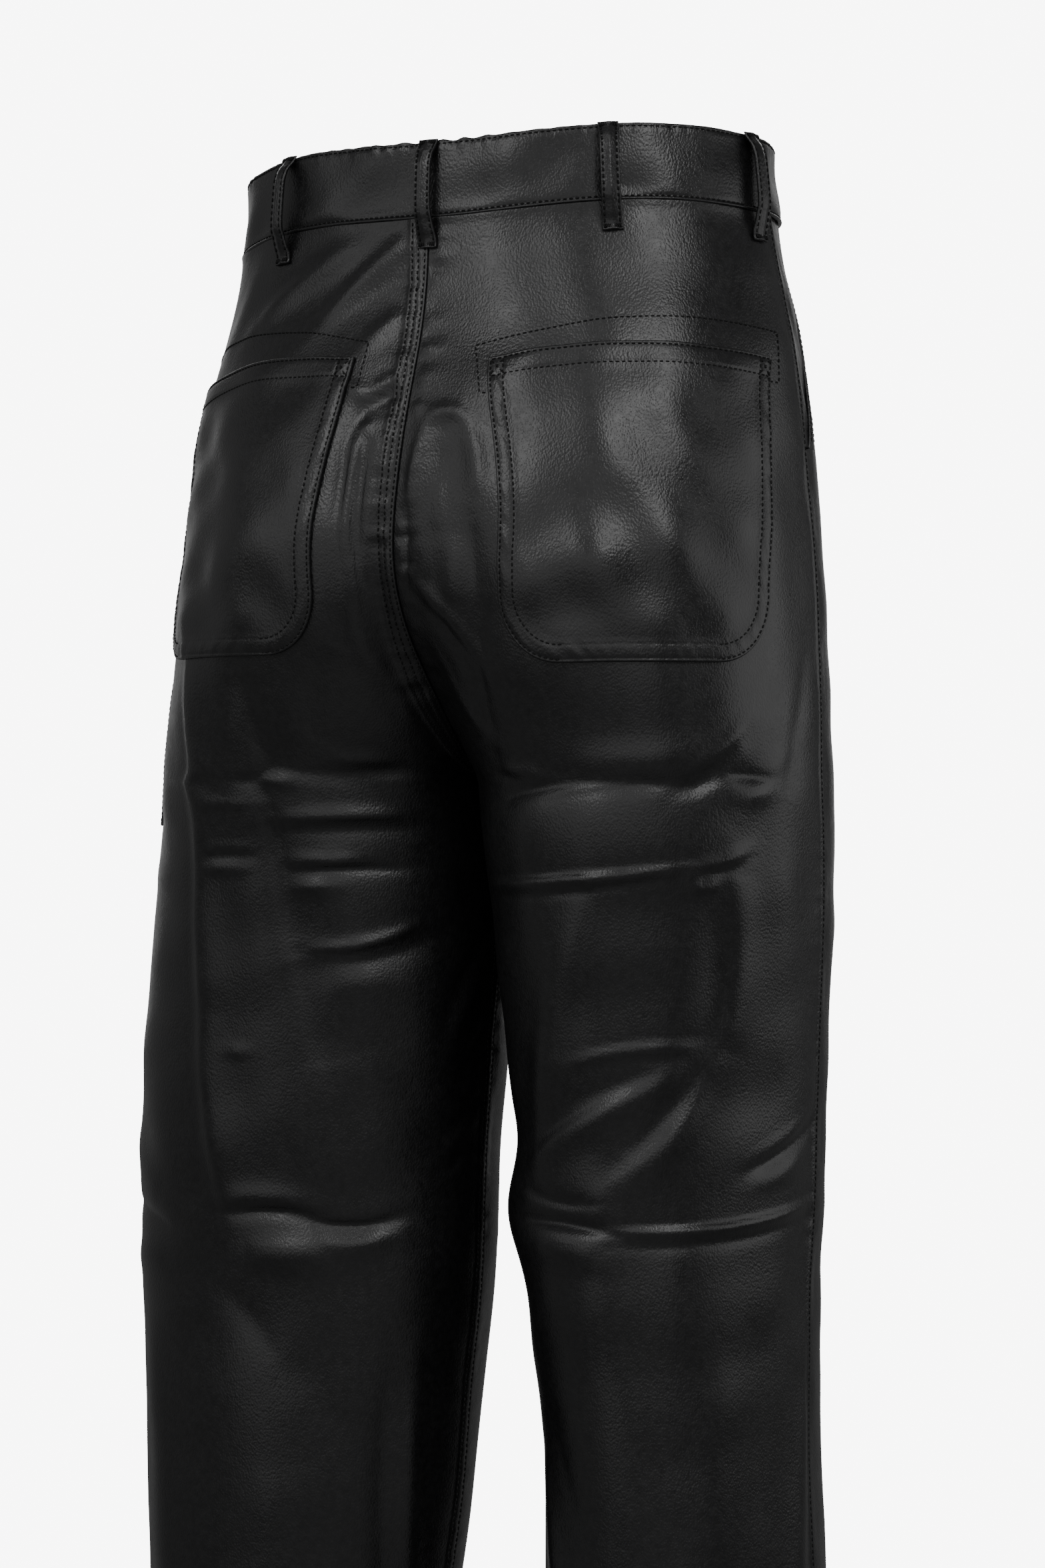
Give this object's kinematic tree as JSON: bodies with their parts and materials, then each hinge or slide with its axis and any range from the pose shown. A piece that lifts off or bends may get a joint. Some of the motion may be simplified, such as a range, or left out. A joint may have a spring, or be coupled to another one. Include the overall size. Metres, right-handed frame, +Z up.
{
  "type": "work trousers",
  "caption": "Black faux leather work trousers, worn shape with an open waist and hems, patch pockets on the seat and thigh, belt loops and a lapped waistband.",
  "frame": {"origin": "middle of the waistband ring, where the garment is held", "axes": "+Z up from the hems to the waist, -Y out of the front, +X to the wearer's left"},
  "size_m": [0.4118, 0.2449, 1.0635],
  "materials": {
    "black_faux_leather": "soft semi-gloss with a fine grain",
    "dark_metal": "dark brushed"
  },
  "bodies": {
    "root": {"back_left": "black_faux_leather", "back_right": "black_faux_leather", "front_left": "black_faux_leather", "front_right": "black_faux_leather", "pocket_facing_left": "black_faux_leather", "pocket_facing_right": "black_faux_leather", "waistband": "black_faux_leather", "belt_loop_centre_back": "black_faux_leather", "belt_loop_back_left": "black_faux_leather", "belt_loop_back_right": "black_faux_leather", "belt_loop_side_left": "black_faux_leather", "belt_loop_side_right": "black_faux_leather", "belt_loop_front_left": "black_faux_leather", "belt_loop_front_right": "black_faux_leather", "back_pocket_left": "black_faux_leather", "back_pocket_right": "black_faux_leather", "thigh_pocket_left": "black_faux_leather", "fly": "black_faux_leather", "waist_button": "dark_metal"}
  },
  "joints": []
}
